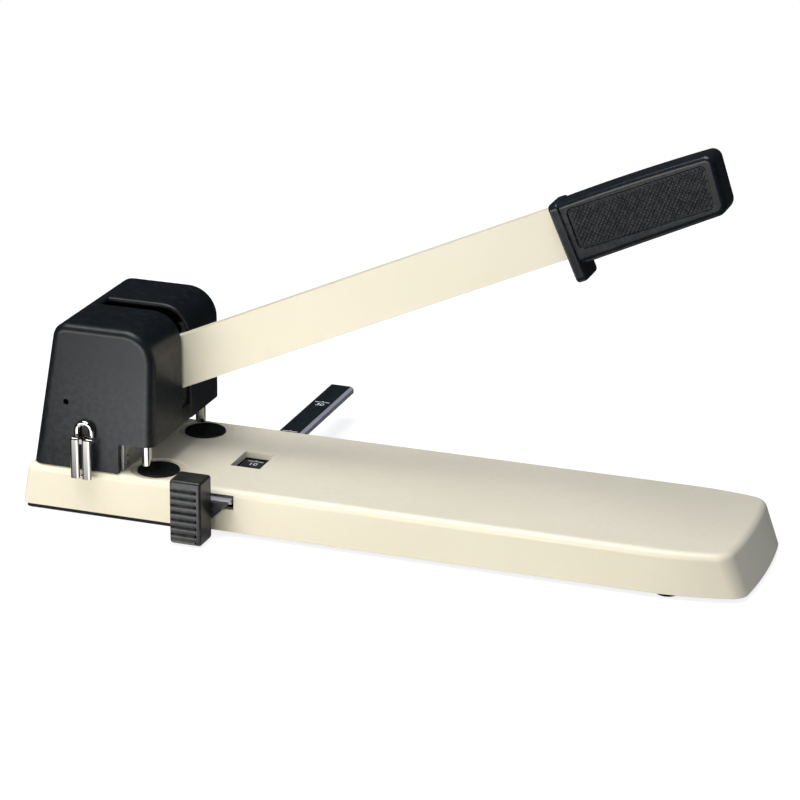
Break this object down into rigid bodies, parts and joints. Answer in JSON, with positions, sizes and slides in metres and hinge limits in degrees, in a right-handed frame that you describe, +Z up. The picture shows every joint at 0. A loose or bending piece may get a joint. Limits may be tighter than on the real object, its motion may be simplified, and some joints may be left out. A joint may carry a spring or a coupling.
{
  "type": "two-hole punch",
  "caption": "Heavy-duty desk hole punch with a long lever, geared punch head, hollow cutters over turning discs, sliding paper guide and side latch.",
  "frame": {"origin": "on the desk, at the underside of the rear pad, below the middle of the line through both cutters", "axes": "+X along the base from the punch head to the free end, +Y to the far side, away from the paper stop, +Z up"},
  "size_m": [0.4315, 0.2305, 0.2391],
  "materials": {
    "cream_paint": "smooth semi-gloss cream enamel",
    "black_plastic": "fine satin moulded black plastic",
    "disc_plastic": "dull black plastic",
    "rubber": "dull black rubber",
    "chrome": "bright chrome plate",
    "sheet_steel": "plated sheet steel",
    "machined_steel": "machined steel",
    "fasteners": "zinc plated",
    "spring_steel": "drawn spring wire",
    "bronze": "sintered bronze",
    "aluminium": "clear anodised",
    "scale_print": "black film with white marks"
  },
  "bodies": {
    "base": {"base_housing": "cream_paint", "head_cover": "black_plastic", "rear_pad": "rubber", "front_feet": "rubber", "latch_staple": "chrome", "latch_pin": "chrome", "latch_stud": "chrome", "bottom_plate": "sheet_steel", "stop_plate": "sheet_steel", "stripper_plate": "sheet_steel", "cheek_near": "sheet_steel", "cheek_far": "sheet_steel", "guide_straps": "sheet_steel", "guide_posts": "machined_steel", "bottom_screws": "fasteners", "foot_screws": "fasteners", "stop_screws": "fasteners", "stripper_screws": "fasteners", "cheek_screws": "fasteners", "strap_screws": "fasteners", "return_spring_near": "spring_steel", "return_spring_far": "spring_steel", "shaft_bushes": "bronze"},
    "lever": {"lever_arm": "cream_paint", "grip": "black_plastic", "pivot_shaft": "machined_steel", "shaft_rings": "fasteners", "sector_near": "machined_steel", "sector_far": "machined_steel", "sector_dowels": "machined_steel"},
    "ram": {"crosshead": "machined_steel", "rack_near": "machined_steel", "rack_far": "machined_steel", "rack_screws": "fasteners", "cutter_near": "chrome", "cutter_far": "chrome", "cutter_nuts": "fasteners"},
    "guide": {"guide_bar": "aluminium", "scale_strip": "scale_print", "paper_stop": "black_plastic", "stop_bar_screws": "fasteners"},
    "latch": {"latch_hasp": "chrome"},
    "near_disc": {"disc_near": "disc_plastic"},
    "far_disc": {"disc_far": "disc_plastic"}
  },
  "joints": [
    {"name": "lever_hinge", "type": "hinge", "parent": "base", "child": "lever", "pos_m": [-0.0455, 0, 0.0673], "axis": [0, 1, 0], "range_deg": [-50, 9]},
    {"name": "ram_slide", "type": "slide", "parent": "base", "child": "ram", "axis": [0, 0, -1], "range_m": [-0.0149, 0.0027], "deforming": ["return_spring_near", "return_spring_far"]},
    {"name": "guide_slide", "type": "slide", "parent": "base", "child": "guide", "axis": [0, -1, 0], "range_m": [0, 0.092]},
    {"name": "near_disc_turn", "type": "hinge", "parent": "base", "child": "near_disc", "pos_m": [0.0051, -0.035, 0.0257], "axis": [0, 0, 1], "continuous": true},
    {"name": "far_disc_turn", "type": "hinge", "parent": "base", "child": "far_disc", "pos_m": [0.0051, 0.035, 0.0257], "axis": [0, 0, 1], "continuous": true},
    {"name": "latch_swing", "type": "hinge", "parent": "base", "child": "latch", "pos_m": [-0.0332, -0.0559, 0.047], "axis": [-1, 0, 0], "range_deg": [0, 80]}
  ],
  "couplings": [
    {"joint": "ram_slide", "follows": "lever_hinge", "m_per_rad": 0.017}
  ]
}
